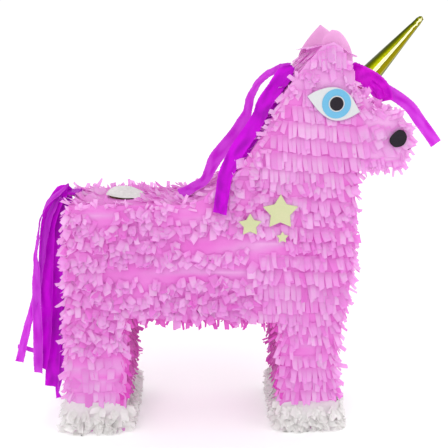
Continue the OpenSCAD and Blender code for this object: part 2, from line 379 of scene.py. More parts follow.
def run_of(outline, node):
    """The part of the outline that a strip covers, in the outline's order."""
    on_strip = {(round(v.co.x, 5), round(v.co.z, 5)) for v in frame["nodes"][node].data.vertices}
    flags = [point in on_strip for point in outline]
    first = next(i for i in range(len(outline)) if flags[i] and not flags[i - 1])
    run = []
    for i in range(len(outline)):
        k = (first + i) % len(outline)
        if not flags[k]:
            break
        run.append(outline[k])
    return run


PANEL_LOW, PANEL_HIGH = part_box("right_side_panel")
HALF = -PANEL_LOW.y
OUTLINE = face_loop("right_side_panel", PANEL_LOW.y)


def inside(x, z, loop=None):
    """Whether a point is inside a closed outline."""
    loop = loop or OUTLINE
    odd = False
    for (ax, az), (bx, bz) in zip(loop, loop[1:] + loop[:1]):
        if (az > z) != (bz > z) and x < ax + (z - az) * (bx - ax) / (bz - az):
            odd = not odd
    return odd


def edge_near(x, z):
    """(distance to the outline, its outward direction there)."""
    best = (9.0, Vector((0, 0, 1)))
    for (ax, az), (bx, bz) in zip(OUTLINE, OUTLINE[1:] + OUTLINE[:1]):
        along = Vector((bx - ax, bz - az))
        share = max(0, min(1, ((x - ax) * along.x + (z - az) * along.y) / along.length_squared))
        gap = math.hypot(x - ax - share * along.x, z - az - share * along.y)
        if gap < best[0]:
            best = (gap, Vector((-along.y, 0, along.x)).normalized())
    return best


def fill_outline(loop, low, high, step, keep):
    """The points and faces of a flat sheet with that outline. Points of a square grid between
    low and high go in where keep(x, z) says so."""
    points = [Vector(p) for p in loop]
    edges = [(i, (i + 1) % len(loop)) for i in range(len(loop))]
    x = low[0]
    while x < high[0]:
        z = low[1]
        while z < high[1]:
            if keep(x, z):
                points.append(Vector((x, z)))
            z += step
        x += step
    flat, _, faces, _, _, _ = delaunay_2d_cdt(points, edges, [], 1, 1e-6)
    return flat, [tuple(face) for face in faces]


# ------------------------------------------------------------- paper strips

class Stack:
    """Many small pieces of paper gathered into one mesh, each with its own tint."""

    def __init__(self, seed):
        self.rng = random.Random(seed)
        self.points = []
        self.faces = []
        self.tints = []

    def rows(self, rows, shade):
        """A sheet through rows of points. The rows run from the root to the tip."""
        base = len(self.points)
        wide = len(rows[0])
        for i, row in enumerate(rows):
            for j, point in enumerate(row):
                self.points.append(point)
                self.tints.append((shade, i / (len(rows) - 1), j / (wide - 1), 1.0))
        for i in range(len(rows) - 1):
            for j in range(wide - 1):
                a = base + i * wide + j
                self.faces.append((a, a + 1, a + wide + 1, a + wide))

    def sheet(self, points, faces, tints):
        """A sheet with its own faces, numbered from its own first point."""
        base = len(self.points)
        self.points += points
        self.tints += tints
        self.faces += [tuple(base + i for i in face) for face in faces]

    def build(self, name, material, body, *nodes):
        """Makes the gathered paper one piece on that body, in place of those nodes."""
        piece = new_piece(name, self.points, self.faces, material)
        layer = piece.data.color_attributes.new("tint", "FLOAT_COLOR", "POINT")
        for entry, tint in zip(layer.data, self.tints):
            entry.color = tint
        piece.data.polygons.foreach_set("use_smooth", [True] * len(piece.data.polygons))
        piece.data.update()
        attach(piece, body)
        if nodes:
            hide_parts(*nodes)
        return piece


def tab(stack, root, heading, out, width, length, lift, curl, twist, lean, vary=0.27):
    """One cut tab of tissue. It leaves the surface at lift, curls towards its tip, twists and
    leans over to one side. out is the way that the surface faces."""
    rng = stack.rng
    steps = 6
    across = heading.cross(out).normalized()
    point = root.copy()
    rows = []
    cup = rng.uniform(-0.18, 0.18) * width
    slant = rng.uniform(-0.5, 0.5) * width
    # Each tab's tint differs at random. Tabs higher up are also tinted paler, which is painted
    # light from above.
    shade = min(1, max(0, rng.gauss(0.58 + 0.6 * (root.z - 0.25), vary)))
    for i in range(steps + 1):
        share = i / steps
        angle = lift * min(1, 0.3 + share * 1.5) + curl * share ** 1.6
        ahead = heading * math.cos(angle) + out * math.sin(angle) + across * lean * share
        ahead.normalize()
        flat = (across - ahead * across.dot(ahead)).normalized()
        face = ahead.cross(flat)
        turn = twist * share
        side = flat * math.cos(turn) + face * math.sin(turn)
        half = 0.5 * width * (1 - 0.12 * share)
        tilt = ahead * (slant * 0.5 * (i == steps))
        middle = point + ahead.cross(side) * cup * share
        rows.append([point - side * half - tilt, middle, point + side * half + tilt])
        point = point + ahead * (length / steps)
    stack.rows([[press(p) for p in row] for row in rows], shade)


class Cut:
    """How a row of fringe is cut and how its tabs behave. Lengths are in millimetres and
    angles in degrees."""

    def __init__(self, width, length, lift, curl, twist, lean, turn, skip=0.0, extra=0.0,
                 vary=0.27):
        self.width, self.length, self.lift, self.curl = width, length, lift, curl
        self.twist, self.lean, self.turn = twist, lean, turn
        self.skip, self.extra, self.vary = skip, extra, vary


NEAT = Cut((4.5, 9), (19, 22), (2, 12), (-6, 30), 12, 0.12, 4, 0.03, 0.15)
HEAD = Cut((4.5, 9), (18, 24), (1, 9), (-6, 18), 10, 0.14, 6, 0.03, 0.25, 0.2)
BROW = Cut((5, 10), (7, 13), (8, 50), (-40, 90), 45, 0.5, 60, 0.05, 0.8)
LEG = Cut((4.5, 8.5), (15, 21), (4, 20), (-15, 35), 25, 0.25, 14, 0.04, 0.3)
MESSY = Cut((5.5, 12), (10, 18), (2, 36), (-30, 85), 35, 0.6, 65, 0.04, 2.0, 0.36)
CHEST = Cut((4.5, 10), (14, 21), (4, 28), (-15, 60), 30, 0.3, 18, 0.03, 0.6)
JAW = Cut((4, 8), (9, 15), (4, 26), (-25, 60), 35, 0.35, 18, 0.03, 0.5)
SLEEK = Cut((7, 13), (12, 22), (1, 6), (-4, 12), 5, 0.1, 8, 0.35, 0.2)
MUZZLE = Cut((7, 14), (14, 24), (0, 3), (-3, 6), 5, 0.12, 8, 0.03, 0.5, 0.14)
RUFF = Cut((4.5, 8), (11, 17), (8, 38), (-30, 60), 35, 0.35, 25, 0.05, 0.3)
RIM = Cut((3, 6.5), (9, 16), (-5, 30), (-80, 80), 45, 0.4, 30)
TUFT = Cut((6, 12), (10, 20), (18, 72), (-70, 70), 60, 0.6, 85)


def throw_tab(stack, cut, root, heading, out, width=None, scale=1.0):
    """One tab in the manner of that cut. Tabs that hang near each other behave alike."""
    rng = stack.rng
    mood = 0.5 + 0.5 * noise.noise(root * 38)
    turn = rng.gauss(0, 0.45) * cut.turn * DEG
    spin = Matrix.Rotation(turn, 3, out)
    low, high = cut.lift
    lift = low + (high - low) * min(1, max(0, 0.5 * mood + 0.5 * rng.random()))
    low, high = cut.curl
    curl = low + (high - low) * (0.4 * mood + 0.6 * rng.random())
    tab(stack, root, spin @ heading, out,
        width or rng.uniform(*cut.width) / 1000, rng.uniform(*cut.length) / 1000 * scale,
        lift * DEG, curl * DEG, rng.gauss(0, 0.55) * cut.twist * DEG,
        rng.gauss(0, 0.5) * cut.lean, cut.vary)


SKIN_DEPTH = -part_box("right_smooth_tissue")[0].y
# The papers stuck on the sides press the fringe flat, and a little way round them too. Each
# holds its least and greatest x and z and how far out the fringe may come there.
PRESS_ROUND = Vector((0.004, 0, 0.004))
PRESS_GAP = 0.0004
PRESSED = []
for paper in ("right_eye_white", "right_nostril", "right_stars"):
    low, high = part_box(paper)
    PRESSED.append((low - PRESS_ROUND, high + PRESS_ROUND, -high.y - PRESS_GAP))
# How far out the fringe may come behind the mane's long streamer, where that hangs from and to,
# and half its breadth.
MANE_LIMIT = 0.0625
MANE_LOW_Z, MANE_BEND_Z, MANE_HIGH_Z = 0.272, 0.300, 0.335
MANE_HALF = 0.012


def press(p):
    """Moves a point of fringe in under the papers and streamers that lie on the side."""
    depth = abs(p.y)
    if depth > SKIN_DEPTH:
        limit = None
        for low, high, face in PRESSED:
            if low.x < p.x < high.x and low.z < p.z < high.z:
                limit = face
        if p.y < 0 and under_mane(p):
            limit = MANE_LIMIT
        if limit and depth > limit:
            depth = limit - PRESS_GAP + 0.05 * (depth - limit)
            return Vector((p.x, math.copysign(depth, p.y), p.z))
    return p


def under_mane(p):
    """Whether a point lies behind the long streamer where it hangs over the near side."""
    if not MANE_LOW_Z < p.z < MANE_HIGH_Z:
        return False
    return abs(p.x - (-0.006 + 0.10 * max(0, p.z - MANE_BEND_Z))) < MANE_HALF


HOOF_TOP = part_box("front_hoof_tissue")[1].z
JAW_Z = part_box("jaw_strip")[0].z
# Heights and lengths where one kind of fringe gives way to another.
FACE_X = 0.163
FACE_SMOOTH_Z = JAW_Z + 0.034
BROW_LOW, BROW_HIGH = 0.444, 0.462
HEAD_Z = 0.42
CROWN_Z = 0.452
CHEST_LOW, CHEST_HIGH = 0.21, 0.335
FRONT_LEG_TOP = 0.150
REAR_LEG_SLEEK_TOP = 0.105
SHOULDER_X = 0.036
HORN_BACK_X, HORN_FRONT_X = 0.150, 0.186
PITCH = 0.0180
LEG_PITCH = 0.0155
# How far past the outline the rows begin and end, how near the edge the tabs turn outward, the
# rows' fall towards the chest, and the fringe's own thickness.
ROW_PAST = 0.01
EDGE_TURN = 0.014
CHEST_FALL = 0.08
FRINGE_LIFT = (0.0002, 0.0012)
# Stretches where the tissue was laid smooth: x, z, half length, half height.
BARE = [(-0.062, 0.219, 0.092, 0.009), (0.006, 0.248, 0.062, 0.007),
        (-0.145, 0.283, 0.018, 0.010), (-0.038, 0.282, 0.016, 0.010),
        (0.100, 0.115, 0.014, 0.008), (0.055, 0.185, 0.012, 0.008),
        (0.118, 0.438, 0.026, 0.006), (-0.030, 0.186, 0.020, 0.008)]


def is_bare(x, z):
    """Whether that place lies in a smooth stretch. The stretches have ragged edges."""
    ragged = 1 + 0.9 * noise.noise(Vector((x * 45, z * 45, 2)))
    return any(((x - a) / c) ** 4 + ((z - b) / d) ** 4 < ragged for a, b, c, d in BARE)


def cut_at(x, z):
    """Which cut of fringe covers that place on a side."""
    drift = 0.016 * noise.noise(Vector((x * 30, 0, z * 30)))
    if z > JAW_Z and x + drift > FACE_X:
        return MUZZLE if z > FACE_SMOOTH_Z else JAW
    if BROW_LOW < z < BROW_HIGH:
        return BROW
    if z > HEAD_Z:
        return HEAD
    if x > 0.05 and z < FRONT_LEG_TOP:
        return LEG
    if x < -0.05 and z < REAR_LEG_SLEEK_TOP + drift:
        return SLEEK
    if x + drift > SHOULDER_X:
        return NEAT if z > CHEST_HIGH or z < CHEST_LOW else CHEST
    return MESSY


def hang_at(x, z, cut):
    """The way a tab hangs at that place on a side."""
    lean = 0
    if cut is MUZZLE:
        lean = 18 + 25 * max(0, min(1, (x - 0.165) / 0.05))
    elif cut is JAW:
        lean = 10
    elif x > 0.06:
        lean = 12 * max(0, (x - 0.06) / 0.1)
    return Vector((math.sin(lean * DEG), 0, -math.cos(lean * DEG)))


def side_row(stack, side, z, row):
    """One row of fringe across a side, with the loose tabs between."""
    rng = stack.rng
    out = Vector((0, side, 0))
    x = PANEL_LOW.x - ROW_PAST
    slope = rng.uniform(-0.012, 0.012)
    long = rng.uniform(0.92, 1.08)
    while x < PANEL_HIGH.x + ROW_PAST:
        here = z + slope * x - CHEST_FALL * max(0, x - 0.06) * (z > 0.2)
        here += 0.0025 * noise.noise(Vector((x * 18, side, row * 3.7)))
        cut = cut_at(x, here)
        width = rng.uniform(*cut.width) / 1000
        x += width * 0.5
        if inside(x, here) and rng.random() > cut.skip \
                and not (is_bare(x, here - 0.005) and rng.random() < 0.95):
            gap, outward = edge_near(x, here)
            heading = hang_at(x, here, cut)
            size = long
            if gap < EDGE_TURN:
                heading = (heading + outward * rng.uniform(0.0, 0.7)).normalized()
                size = long * (0.5 if cut in (MUZZLE, HEAD) else 0.8)
            depth = SKIN_DEPTH + rng.uniform(*FRINGE_LIFT)
            throw_tab(stack, cut, Vector((x, side * depth, here)), heading, out, width, size)
            spare = cut.extra
            while rng.random() < spare:
                spare -= 1
                reach = 0.009 if cut is MESSY else 0.004
                root = Vector((x + rng.uniform(-0.004, 0.004), side * (depth + 0.0015),
                               here + rng.uniform(-reach, reach)))
                throw_tab(stack, cut, root, heading, out, scale=rng.uniform(0.6, 1.0))
        x += width * 0.45


def side_tabs(stack, side):
    """All the fringe on one side: its rows, the short tabs by the horn and the row that hangs
    from the crown. side is -1 for the right and 1 for the left."""
    rng = stack.rng
    z = HOOF_TOP + 0.018
    out = Vector((0, side, 0))
    row = 0
    while z < PANEL_HIGH.z + 0.02:
        row += 1
        side_row(stack, side, z, row)
        z += LEG_PITCH if z < FRONT_LEG_TOP else PITCH
    for x, z in OUTLINE:
        for _ in range(5 if HORN_BACK_X < x < HORN_FRONT_X and z > HEAD_Z - 0.01 else 0):
            root = Vector((x + rng.uniform(-0.003, 0.003), side * rng.uniform(0.030, 0.052), z))
            throw_tab(stack, HEAD, root, edge_near(x, z)[1].normalized(), out, scale=0.5)
        for _ in range(4 if z > CROWN_Z and x < HORN_BACK_X else 0):
            root = Vector((x + rng.uniform(-0.005, 0.005), side * (SKIN_DEPTH + 0.001),
                           z - rng.uniform(0.003, 0.006)))
            throw_tab(stack, HEAD, root, Vector((0.08, 0, -1)).normalized(), out, scale=0.9)


def side_skin(stack, side, base):
    """The smooth tissue under the fringe, with soft creases. Its edge meets the edge strips'."""
    loop = []
    for i, (x, z) in enumerate(OUTLINE):
        before = Vector(OUTLINE[i - 1])
        after = Vector(OUTLINE[(i + 1) % len(OUTLINE)])
        tangent = (after - before).normalized()
        loop.append((x - tangent.y * base, z + tangent.x * base))
    flat, faces = fill_outline(loop, (PANEL_LOW.x, HOOF_TOP - 0.01), (PANEL_HIGH.x, PANEL_HIGH.z),
                               0.006, lambda x, z: inside(x, z) and edge_near(x, z)[0] > 0.002)
    solid = []
    tints = []
    for p in flat:
        crease = noise.noise(Vector((p.x * 18, side, p.y * 60)))
        crease += 0.5 * noise.noise(Vector((p.x * 60, side, p.y * 160)))
        head = p.y > 0.43 or (p.x > 0.16 and p.y > JAW_Z)
        streak = noise.noise(Vector((p.x * 14, side + 7, p.y * 110)))
        if head:
            shade = 0.85 + 0.25 * streak
        elif is_bare(p.x, p.y) or (p.x < -0.05 and p.y < 0.12):
            shade = 0.5 + 0.9 * streak
        else:
            # Under the fringe the tissue is tinted deep: partly the vivid under-layer and partly
            # painted shade for the gaps between the tabs.
            shade = 0.25 + 0.3 * streak
        edge = edge_near(p.x, p.y)[0] < 0.003
        solid.append(Vector((p.x, side * (SKIN_DEPTH + 0.0009 * crease * (not edge)), p.y)))
        tints.append((max(0, min(1, shade)), 1.0, 0.5, 1.0))
    stack.sheet(solid, faces, tints)


def along_run(run, distance):
    """(x, z, tangent) at that distance along a run of the outline."""
    for (ax, az), (bx, bz) in zip(run, run[1:]):
        length = math.hypot(bx - ax, bz - az)
        if distance <= length or (bx, bz) == run[-1]:
            share = min(1, distance / length)
            return (ax + share * (bx - ax), az + share * (bz - az),
                    Vector((bx - ax, 0, bz - az)) / length)
        distance -= length


def run_length(run):
    """The length of a run of the outline."""
    return sum(math.hypot(b[0] - a[0], b[1] - a[1]) for a, b in zip(run, run[1:]))


SEAL_LOW, SEAL_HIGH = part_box("seal_label")
SEAL_R = (SEAL_HIGH.y - SEAL_LOW.y) / 2
SEAL_AT = Vector((SEAL_LOW.x + SEAL_R, 0, SEAL_HIGH.z))
HOLE_LOW, HOLE_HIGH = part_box("fill_door")
HOLE_R = (HOLE_HIGH.y - HOLE_LOW.y) / 2 + 0.0005
# How near a hole the tissue's points move onto its edge.
HOLE_SNAP = 0.0022
HANG_HOLES = [Vector(m["pos_m"]) for m in RECORD["mounts"] if m["name"].startswith("hang")]
HANG_R = 0.0035


def openings():
    """The round holes in the back's tissue: (centre, radius)."""
    return [(SEAL_AT, HOLE_R)] + [(hole, HANG_R) for hole in HANG_HOLES]


SKIN_STEP = 0.003
SKIN_WIDE = 40


def edge_skin(stack, run, base, seed, holes=()):
    """Smooth tissue over an edge strip, creased across the shell."""
    total = run_length(run)
    count = max(2, int(total / SKIN_STEP))
    wide = SKIN_WIDE
    points = []
    tints = []
    for i in range(count + 1):
        x, z, tangent = along_run(run, total * i / count)
        out = Vector((-tangent.z, 0, tangent.x))
        for j in range(wide + 1):
            y = (HALF + base) * (2 * j / wide - 1)
            crease = 0 if j in (0, wide) else noise.noise(Vector((x * 50, y * 40 + seed, z * 50)))
            p = Vector((x, y, z)) + out * (base + 0.0007 * crease)
            for centre, radius in holes:
                away = Vector((p.x - centre.x, p.y - centre.y))
                if abs(away.length - radius) < HOLE_SNAP:
                    away = away.normalized() * radius
                    p = Vector((centre.x + away.x, centre.y + away.y, p.z))
            points.append(p)
            # Tinted deep: partly the vivid under-layer and partly painted shade for the gaps
            # between the tabs.
            tints.append((0.2, 1.0, 0.5, 1.0))
    faces = []
    for i in range(count):
        for j in range(wide):
            a = i * (wide + 1) + j
            face = (a, a + 1, a + wide + 2, a + wide + 1)
            middle = sum((points[k] for k in face), Vector()) / 4
            if middle.z > HOOF_TOP - 0.006 and not any(
                    math.hypot(middle.x - c.x, middle.y - c.y) < r for c, r in holes):
                faces.append(face)
    stack.sheet(points, faces, tints)


def edge_tabs(stack, run, base, cut, keep_off=None, pitch=0.015):
    """Fringe rows across an edge strip, lying down the slope, or backwards where it is level."""
    rng = stack.rng
    total = run_length(run)
    s = rng.uniform(0.2, 0.8) * pitch
    while s < total:
        x, z, tangent = along_run(run, s)
        out = Vector((-tangent.z, 0, tangent.x))
        falls = tangent.z < -0.15 or (abs(tangent.z) <= 0.15 and tangent.x < 0)
        y = -HALF + 0.002
        while y < HALF - 0.002:
            width = rng.uniform(*cut.width) / 1000
            y += width / 2
            root = Vector((x, y, z)) + out * base + tangent * rng.uniform(-0.004, 0.004)
            y += width / 2
            if root.z < HOOF_TOP + 0.012 or rng.random() < cut.skip \
                    or (keep_off and keep_off(root)):
                continue
            throw_tab(stack, cut, root, tangent if falls else -tangent, out, width)
        s += pitch * rng.uniform(0.9, 1.1)


def rim_tabs(stack, run, side, keep_off=None, gap=0.0045):
    """Loose tabs along a corner of the shell, sticking out past its outline."""
    rng = stack.rng
    total = run_length(run)
    s = 0.0
    while s < total:
        x, z, tangent = along_run(run, s)
        outward = Vector((-tangent.z, 0, tangent.x))
        s += gap * rng.uniform(0.5, 1.5)
        root = Vector((x, side * (HALF + 0.0005), z)) - outward * rng.uniform(-0.001, 0.006)
        if root.z < HOOF_TOP + 0.012 or (keep_off and keep_off(root)):
            continue
        reach = 0.1 + 0.9 * rng.random() ** 2
        heading = outward * reach + Vector((0, 0, -1)) * rng.uniform(0.3, 1.0)
        if outward.z > 0.5:
            heading = Vector((rng.uniform(-1, 1), side * rng.uniform(0, 0.6), 0)) \
                + outward * rng.uniform(-0.6, 1.1)
        if outward.z < -0.5:
            heading = outward + Vector((rng.uniform(-0.7, 0.7), 0, 0))
        heading.normalize()
        out = Vector((0, side, 0)) + outward * rng.uniform(0, 0.8)
        out = (out - heading * out.dot(heading)).normalized()
        throw_tab(stack, RIM, root, heading, out)


HORN_FOOT = Vector((0.159, 0, 0.425))
HORN_TILT = 41.5 * DEG
HORN_AXIS = Vector((math.sin(HORN_TILT), 0, math.cos(HORN_TILT)))
HORN_LENGTH = 0.122
HORN_RADIUS = 0.0154
HORN_TIP_RADIUS = 0.0032
# Where the foil's overlapped seam runs, as a share of the turn, and where the tip is crumpled.
HORN_SEAM = (0.305, 0.755)
HORN_CRUMPLE = 0.86


# Free margins round the seal, round a hanging hole and beside the door's opening, and the horn's.
SEAL_MARGIN = 0.007
HOLE_MARGIN = 0.006
DOOR_MARGIN = 0.016
HORN_MARGIN = 0.010


def near_seal(p):
    """The places on the back that stay free: round the seal, the hanging holes and the door."""
    if (p - SEAL_AT).length < SEAL_R + SEAL_MARGIN:
        return True
    if any(math.hypot(p.x - hole.x, p.y - hole.y) < HOLE_MARGIN for hole in HANG_HOLES):
        return True
    return abs(p.x - SEAL_AT.x) < SEAL_R and -SEAL_R - DOOR_MARGIN < p.y < 0


def near_horn(p):
    """The place where the horn stands."""
    away = p - HORN_FOOT
    return (away - HORN_AXIS * away.dot(HORN_AXIS)).length < HORN_MARGIN


def near_mane(p):
    """The crest and near corner, where the mane's streamers are glued and hang."""
    if not (0.275 < p.z < 0.335 and -0.03 < p.x < 0.02):
        return False
    return p.y < -0.042 or abs(p.y + 0.012) < 0.012


def build_fringe():
    """The smooth tissue and the fringe over both sides, the edge strips, the legs' inner faces
    and the belly."""
    base = SKIN_DEPTH - HALF
    for side, word, seed in ((-1, "right", 11), (1, "left", 12)):
        skin = Stack(seed + 20)
        side_skin(skin, side, base)
        skin.build(word + "_tissue_skin", "skin", SHELL, word + "_smooth_tissue")
        stack = Stack(seed)
        side_tabs(stack, side)
        stack.build(word + "_fringe_rows", "fringe", SHELL, word + "_fringe")
    jobs = [
        ("rump_fringe", ["rump_strip"], RUFF, None),
        ("back_fringe", ["back_strip"], MESSY, near_seal),
        ("nape_fringe", ["nape_strip"], RUFF, near_mane),
        ("crown_fringe", ["crown_strip"], HEAD, None),
        ("front_fringe", ["forehead_strip", "muzzle_strip", "jaw_strip", "chest_strip"], RUFF,
         near_horn),
    ]
    for seed, (node, strips, cut, keep_off) in enumerate(jobs, 31):
        stack = Stack(seed)
        skin = Stack(seed + 50)
        for strip in strips:
            run = run_of(OUTLINE, strip)
            edge_skin(skin, run, base, seed, openings() if strip == "back_strip" else ())
            edge_tabs(stack, run, base, cut, keep_off)
            for side in (-1, 1):
                if strip != "crown_strip":
                    rim_tabs(stack, run, side, near_mane, 0.004 if cut is RUFF else 0.006)
        skin.build(node + "_under_tissue", "skin", SHELL)
        stack.build(node + "_paper", "pale_fringe", SHELL, node)
    stack = Stack(41)
    for strip in ("front_leg_inner_strip", "belly_strip", "rear_leg_inner_strip"):
        run = run_of(OUTLINE, strip)
        edge_skin(stack, run, base, 41)
        edge_tabs(stack, run, base, RUFF)
        for side in (-1, 1):
            rim_tabs(stack, run, side)
    stack.build("leg_and_belly_fringe", "inner", SHELL, "leg_and_belly_tissue")


def round_box(half_x, half_y, corner, count):
    """Points and outward directions around a rectangle with round corners, going anticlockwise
    from above."""
    ring = []
    straight_x = 2 * (half_x - corner)
    straight_y = 2 * (half_y - corner)
    arc = corner * math.pi / 2
    total = 2 * (straight_x + straight_y) + 4 * arc
    for i in range(count):
        s = total * i / count
        for k in range(4):
            flat = straight_y if k % 2 == 0 else straight_x
            turn = Matrix.Rotation(k * math.pi / 2, 2)
            reach = (half_x, half_y) if k % 2 == 0 else (half_y, half_x)
            if s <= flat:
                p = Vector((reach[0], -reach[1] + corner + s))
                ring.append((turn @ p, turn @ Vector((1, 0))))
                break
            s -= flat
            if s <= arc:
                angle = s / corner
                ray = Vector((math.cos(angle), math.sin(angle)))
                p = Vector((reach[0] - corner, reach[1] - corner)) + ray * corner
                ring.append((turn @ p, turn @ ray))
                break
            s -= arc
    return ring


# The foot tissue: how far its bunched wrap stands inside the finished size, the wrap's corner,
# its number of tufts, how far they stand off the wrap and the height of the floor under them.
WRAP_INSET = 0.0074
WRAP_CORNER = 0.007
TUFTS = 470
TUFT_STAND = 0.0035
FLOOR_GAP = 0.0008


def build_hooves():
    """White tissue crumpled round each pair of feet, under a ragged pink hem."""
    for seed, node in ((71, "front_hoof_tissue"), (72, "rear_hoof_tissue")):
        low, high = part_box(node)
        stack = Stack(seed)
        rng = stack.rng
        centre = (low + high) / 2
        ring = round_box((high.x - low.x) / 2 - WRAP_INSET, HALF + 0.0012, WRAP_CORNER, 150)
        rows = []
        for k in range(13):
            share = k / 12
            row = []
            for p, ray in ring + ring[:1]:
                at = Vector((p.x * 55, p.y * 55, share * 3.2 + seed))
                crumple = noise.noise(at) + 0.6 * noise.noise(at * 2.3)
                swell = 0.0045 * math.sin(math.pi * min(1, share * 1.05)) ** 0.6
                swell += 0.0032 * crumple * math.sin(math.pi * min(1, share + 0.15))
                hem = 0.009 * noise.noise(Vector((p.x * 45, p.y * 45, seed)))
                z = low.z + 0.001 + (high.z + 0.003 + hem - low.z) * share
                row.append(Vector((centre.x + p.x + ray.x * swell, p.y + ray.y * swell, z)))
            rows.append(row)
        base = len(stack.points)
        stack.rows(rows, 0.6)
        for i in range(base, len(stack.points)):
            stack.tints[i] = (rng.uniform(0.4, 0.8), 1.0, 0.5, 1.0)
        for _ in range(TUFTS):
            p, ray = ring[rng.randrange(len(ring))]
            height = rng.uniform(0.004, 1.0) ** 0.9
            z = low.z + height * (high.z - low.z - 0.004)
            out = Vector((ray.x, ray.y, 0))
            root = Vector((centre.x + p.x, p.y, z)) + out * TUFT_STAND
            heading = Vector((0, 0, -1)) if height > 0.35 or rng.random() < 0.4 \
                else Vector((-ray.y, ray.x, 0)) * rng.choice((-1, 1))
            throw_tab(stack, TUFT, root, heading, out, scale=0.75)
        stack.points = [Vector((p.x, p.y, max(p.z, FLOOR_GAP))) for p in stack.points]
        stack.build(node.replace("tissue", "tufts"), "tuft", SHELL, node)


# --------------------------------------------------------------- crepe streamers

def smooth_path(points, count):
    """A smooth curve through points."""
    path = []
    for i in range(count):
        t = i * (len(points) - 1) / (count - 1)
        k = min(int(t), len(points) - 2)
        u = t - k
        p0 = points[max(k - 1, 0)]
        p1 = points[k]
        p2 = points[k + 1]
        p3 = points[min(k + 2, len(points) - 1)]
        path.append([0.5 * ((2 * p1[j]) + (-p0[j] + p2[j]) * u
                            + (2 * p0[j] - 5 * p1[j] + 4 * p2[j] - p3[j]) * u * u
                            + (-p0[j] + 3 * p1[j] - 3 * p2[j] + p3[j]) * u ** 3)
                     for j in range(len(p1))])
    return path


def crepe_strip(stack, points, width, seed, cup=0.07, ends=(1.0, 1.0)):
    """A crepe strip along points of (x, y, z, roll), in metres and degrees. roll turns its face
    from the side of the object towards the front or back. Returns the strip's length."""
    count = 14 * (len(points) - 1)
    path = smooth_path(points, count)
    base = len(stack.points)
    wide = 9
    rows = []
    length = 0.0
    for i, (x, y, z, roll) in enumerate(path):
        ahead = Vector(path[min(i + 1, count - 1)][:3])
        behind = Vector(path[max(i - 1, 0)][:3])
        tangent = (ahead - behind).normalized()
        flat = tangent.cross(Vector((0, 1, 0))).normalized()
        thick = tangent.cross(flat)
        side = flat * math.cos(roll * DEG) + thick * math.sin(roll * DEG)
        face = tangent.cross(side)
        if i:
            length += (Vector(path[i][:3]) - Vector(path[i - 1][:3])).length
        share = i / (count - 1)
        narrow = min(1, ends[0] + share * 7, ends[1] + (1 - share) * 7)
        row = []
        for j in range(wide):
            u = 2 * j / (wide - 1) - 1
            ripple = 0.0005 * noise.noise(Vector((length * 260, u * 1.5, seed)))
            buckle = 0.0028 * noise.noise(Vector((length * 42, u * 0.9, seed + 7)))
            pleat = 0.0016 * (1 - narrow) * math.sin(u * 14)
            frill = 0.0005 * noise.noise(Vector((length * 500, u, seed + 3)))
            row.append(Vector((x, y, z)) + side * (u * narrow * width / 2 + frill)
                       + face * (cup * width * (u * u - 0.4) + ripple + buckle + pleat))
        rows.append(row)
    stack.rows(rows, 0.5)
    for i in range(count):
        for j in range(wide):
            shade = 0.5 + 0.9 * noise.noise(Vector((i * 0.07, j * 0.35, seed)))
            stack.tints[base + i * wide + j] = (shade, i / (count - 1), j / (wide - 1), 1.0)
    return length


def streamer(name, material, body, node, points, width, held, rests_on, seed, extras=(), **form):
    """A streamer and any short bits that belong to it, built as one piece."""
    stack = Stack(seed)
    length = crepe_strip(stack, points, width, seed, **form)
    area = width * length
    for k, (path, breadth) in enumerate(extras):
        area += breadth * crepe_strip(stack, path, breadth, seed + 30 + k)
    piece = stack.build(name, material, body, node)
    return piece


# How wide a gathered streamer is at its root and at its end, as shares of its full width.
PINCHED = (0.35, 1.0)


